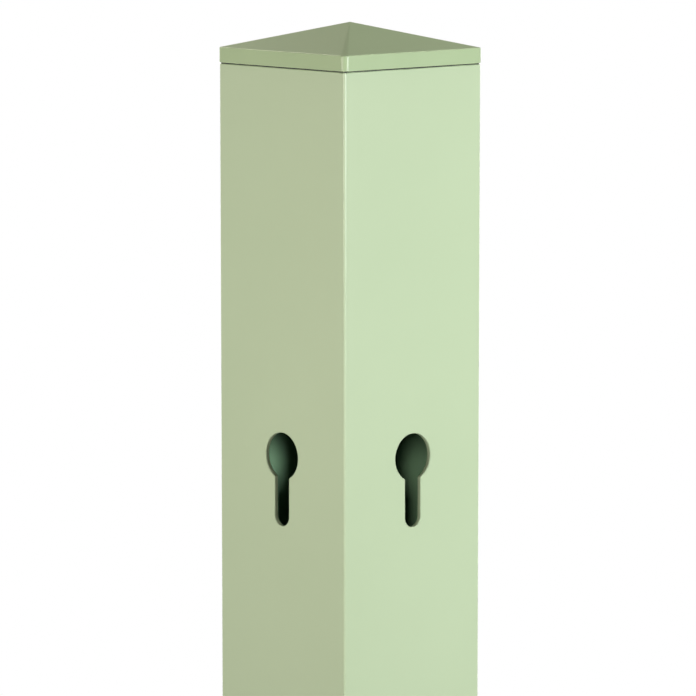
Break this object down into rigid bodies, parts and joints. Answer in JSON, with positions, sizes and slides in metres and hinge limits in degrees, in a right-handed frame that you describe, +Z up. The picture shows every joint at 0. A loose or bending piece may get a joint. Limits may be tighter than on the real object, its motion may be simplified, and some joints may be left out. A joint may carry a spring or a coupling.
{
  "type": "fence post",
  "caption": "Upright square hollow fence post with keyholes in its faces for hanging rails or panels, closed on top by a low pyramid cap; plain open foot.",
  "frame": {"origin": "middle of the sawn foot, on the ground", "axes": "+Z up along the tube; keyholes face -Y and +X; the other two faces are plain"},
  "size_m": [0.0812, 0.0812, 1.0181],
  "materials": {
    "tube_coating": "satin pale sage powder coat",
    "cap_plastic": "satin moulded, matched to the tube"
  },
  "bodies": {
    "root": {"post_tube": "tube_coating", "post_cap": "cap_plastic"}
  },
  "joints": []
}
